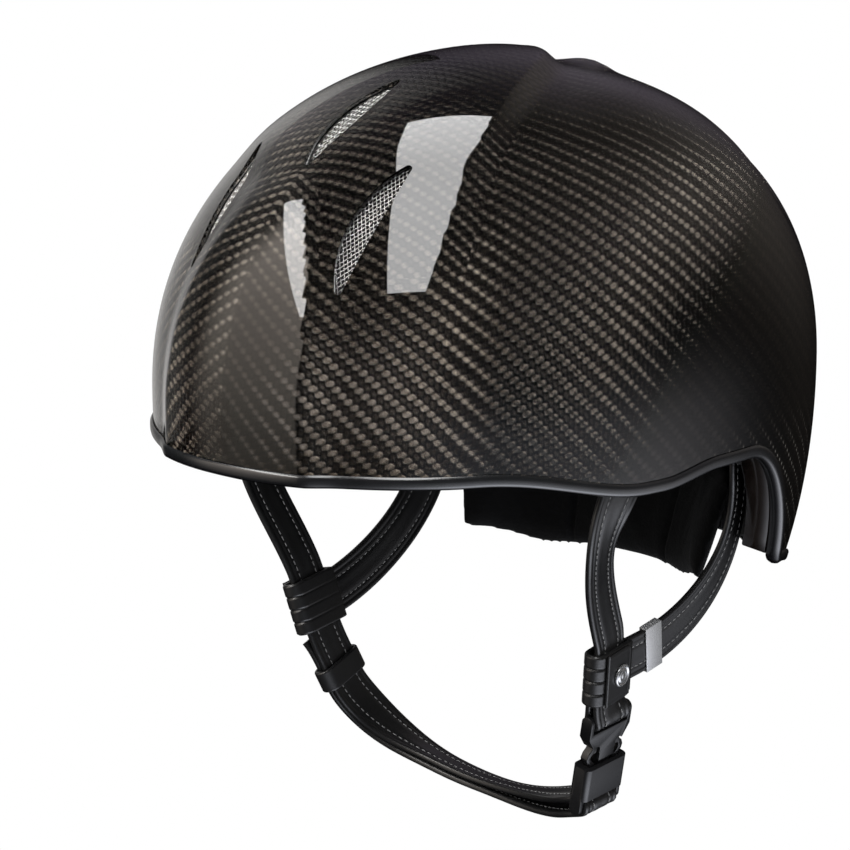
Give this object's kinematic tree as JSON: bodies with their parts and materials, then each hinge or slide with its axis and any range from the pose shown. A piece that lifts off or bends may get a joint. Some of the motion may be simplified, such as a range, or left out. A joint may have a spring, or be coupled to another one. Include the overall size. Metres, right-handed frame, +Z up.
{
  "type": "jockey helmet",
  "caption": "Carbon jockey helmet with foam liner, sewn pads, mesh vents and a leather chin harness that closes with a side release buckle.",
  "frame": {"origin": "point where the wearer's crown bears on the crown pad, on the centre plane", "axes": "+Z up through the crown, the front of the helmet faces -Y, +X is the wearer's left"},
  "size_m": [0.2188, 0.281, 0.2976],
  "materials": {
    "carbon": "clear coated twill carbon",
    "trim_rubber": "satin",
    "gloss_band": "gloss",
    "foam": "moulded bead foam",
    "vent_wire": "bright wire mesh",
    "felt": "brushed knit over foam",
    "leather": "fine grain with pale stitching",
    "steel": "brushed",
    "dark_chrome": "dark polished",
    "buckle_plastic": "satin"
  },
  "bodies": {
    "helmet": {"outer_shell": "carbon", "edge_trim": "trim_rubber", "inner_edge_band": "gloss_band", "impact_liner": "foam", "crown_liner": "foam", "centre_vent_mesh": "vent_wire", "left_vent_mesh": "vent_wire", "right_vent_mesh": "vent_wire", "crown_pad": "felt", "headband_pad": "felt", "neck_pad": "felt", "strap_anchor_plates": "steel", "strap_rivets": "steel", "left_front_strap": "leather", "right_front_strap": "leather", "left_rear_strap": "leather", "right_rear_strap": "leather", "left_divider_loop": "leather", "right_divider_loop": "leather", "left_snap_stud": "dark_chrome", "right_snap_stud": "dark_chrome", "tag_clip": "steel", "buckle_plug": "buckle_plastic", "chin_strap": "leather"},
    "left_flap": {"left_loop_flap": "leather", "left_snap_cap": "dark_chrome"},
    "right_flap": {"right_loop_flap": "leather", "right_snap_cap": "dark_chrome"},
    "socket": {"buckle_socket": "buckle_plastic"},
    "front_prong_body": {"front_prong": "buckle_plastic"},
    "rear_prong_body": {"rear_prong": "buckle_plastic"},
    "keeper": {"strap_keeper": "leather"}
  },
  "joints": [
    {"name": "buckle_release", "type": "slide", "parent": "helmet", "child": "socket", "axis": [-0.2569, 0.1219, -0.9587], "range_m": [0, 0.014], "deforming": ["chin_strap"]},
    {"name": "front_prong_pinch", "type": "hinge", "parent": "helmet", "child": "front_prong_body", "pos_m": [0.0656, -0.01401, -0.22612], "axis": [0.9659, 0, -0.2588], "range_deg": [0, 6.5]},
    {"name": "rear_prong_pinch", "type": "hinge", "parent": "helmet", "child": "rear_prong_body", "pos_m": [0.06599, -0.0017, -0.22466], "axis": [-0.9659, 0, 0.2588], "range_deg": [0, 6.5]},
    {"name": "left_flap_hinge", "type": "hinge", "parent": "helmet", "child": "left_flap", "pos_m": [0.07732, -0.01899, -0.19649], "axis": [-0.1346, 0.0866, -0.9871], "range_deg": [0, 110]},
    {"name": "right_flap_hinge", "type": "hinge", "parent": "helmet", "child": "right_flap", "pos_m": [-0.07736, -0.02858, -0.19548], "axis": [-0.2443, -0.148, 0.9583], "range_deg": [0, 110]},
    {"name": "keeper_slide", "type": "slide", "parent": "helmet", "child": "keeper", "axis": [-0.2391, -0.3339, 0.9118], "range_m": [0, 0.005]}
  ],
  "couplings": [
    {"joint": "front_prong_pinch", "follows": "buckle_release", "rad_per_m": 7.5},
    {"joint": "rear_prong_pinch", "follows": "buckle_release", "rad_per_m": 7.5}
  ]
}
